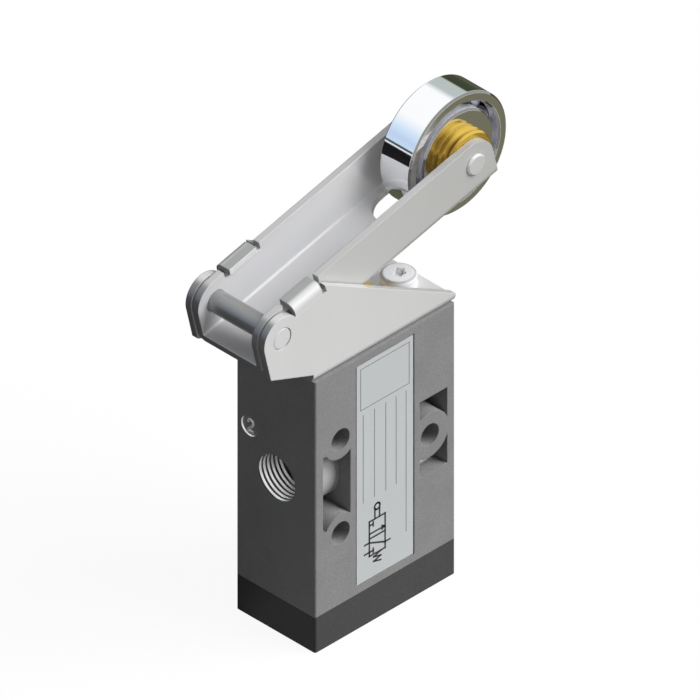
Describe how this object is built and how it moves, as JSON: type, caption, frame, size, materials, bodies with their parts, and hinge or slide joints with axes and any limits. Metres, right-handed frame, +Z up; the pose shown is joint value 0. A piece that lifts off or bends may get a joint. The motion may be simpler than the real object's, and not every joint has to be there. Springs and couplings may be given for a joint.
{
  "type": "roller lever air valve",
  "caption": "Lever-operated spool air valve: a rectangular body with threaded ports and cross holes, and a sprung sheet-metal lever with a ball bearing roller that pushes the plunger.",
  "frame": {"origin": "middle of the underside of the bottom cover", "axes": "+Z up the spool axis towards the lever, +X from the lever pivot towards the roller, +Y from the label towards the plain side"},
  "size_m": [0.0617, 0.0182, 0.0891],
  "materials": {
    "body_plastic": "fine grain, matt grey",
    "cover_plastic": "satin, near black",
    "guide_plastic": "plain, dark",
    "spacer_plastic": "plain, off white",
    "seal_rubber": "black rubber",
    "label_foil": "silver white foil",
    "spool_aluminium": "turned",
    "spring_steel": "drawn wire",
    "plunger_steel": "ground",
    "sheet_steel": "satin sheet steel",
    "pin_steel": "ground",
    "screw_steel": "zinc plated",
    "bearing_steel": "polished",
    "brass": "turned"
  },
  "bodies": {
    "valve": {"valve_body": "body_plastic", "bottom_cover": "cover_plastic", "cover_seal": "seal_rubber", "cover_screws": "screw_steel", "label": "label_foil", "lower_guide": "guide_plastic", "seal_spacers": "spacer_plastic", "spool_seals": "seal_rubber", "return_spring": "spring_steel", "plunger_guide": "brass", "rod_wiper": "seal_rubber", "screw_inserts": "brass", "lever_bracket": "sheet_steel", "bracket_screws": "screw_steel", "lever_pin": "pin_steel"},
    "spool_stack": {"spool": "spool_aluminium", "spring_seat": "guide_plastic", "plunger": "plunger_steel"},
    "lever": {"roller_lever": "sheet_steel", "roller_axle": "pin_steel", "near_bush": "brass", "far_bush": "brass", "inner_ring": "bearing_steel"},
    "ball_set": {"ball_cage": "bearing_steel", "bearing_balls": "bearing_steel"},
    "roller": {"outer_ring": "bearing_steel"}
  },
  "joints": [
    {"name": "lever_pivot", "type": "hinge", "parent": "valve", "child": "lever", "pos_m": [-0.02371, 0, 0.0667], "axis": [0, 1, 0], "range_deg": [0, 11], "stiffness_Nm_per_rad": 1.7, "springref_deg": -7.96},
    {"name": "plunger_slide", "type": "slide", "parent": "valve", "child": "spool_stack", "axis": [0, 0, -1], "range_m": [0, 0.0045], "deforming": ["return_spring"]},
    {"name": "roller_spin", "type": "hinge", "parent": "lever", "child": "roller", "pos_m": [0.0225, 0, 0.07771], "axis": [0, 1, 0], "continuous": true},
    {"name": "ball_spin", "type": "hinge", "parent": "lever", "child": "ball_set", "pos_m": [0.0225, 0, 0.07771], "axis": [0, 1, 0], "continuous": true}
  ],
  "couplings": [
    {"joint": "plunger_slide", "follows": "lever_pivot", "m_per_rad": 0.0231},
    {"joint": "ball_spin", "follows": "roller_spin", "ratio": 0.585}
  ]
}
